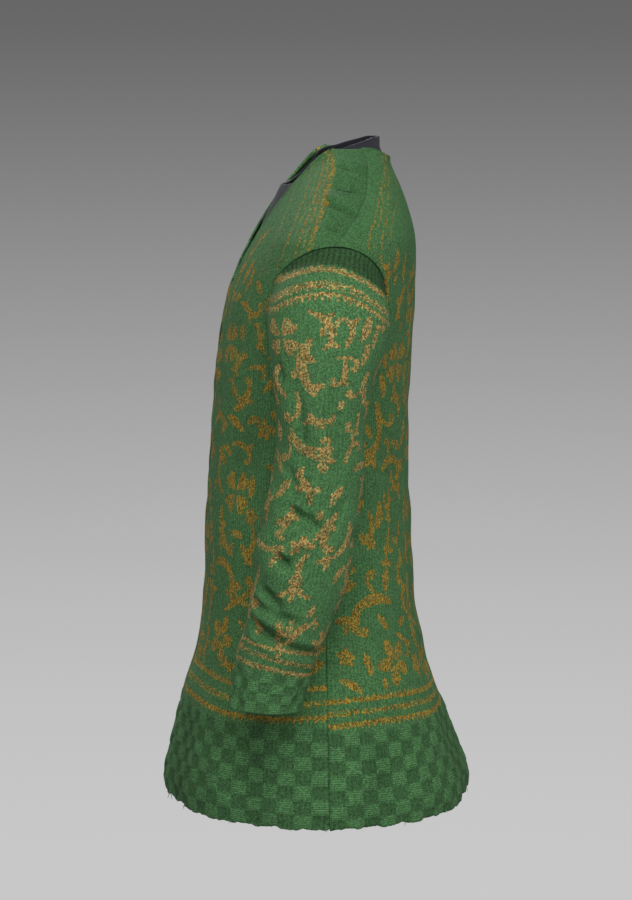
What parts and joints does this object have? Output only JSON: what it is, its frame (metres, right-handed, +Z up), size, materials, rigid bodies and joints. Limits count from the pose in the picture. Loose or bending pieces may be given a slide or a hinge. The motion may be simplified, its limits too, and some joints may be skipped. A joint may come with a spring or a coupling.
{
  "type": "knitted jacket",
  "caption": "Long-sleeved knitted jacket with an open neck, patterned cloth, basket-knit borders and a flared hem, hollow as if worn.",
  "frame": {"origin": "midway between the neck ends of the two shoulder seams, where the jacket is held up", "axes": "+Z up, -Y toward the wearer's front, +X toward the wearer's left"},
  "size_m": [0.5228, 0.3181, 0.6776],
  "materials": {
    "patterned_knit": "matt green knitting with floral scrolls and borders in old gold",
    "sleeve_knit": "matt green knitting with floral scrolls and bands in old gold",
    "lining_cloth": "plain dark slate cloth"
  },
  "bodies": {
    "root": {"front_left": "patterned_knit", "front_right": "patterned_knit", "back": "patterned_knit", "sleeve_left": "sleeve_knit", "sleeve_right": "sleeve_knit", "neck_lining": "lining_cloth"}
  },
  "joints": []
}
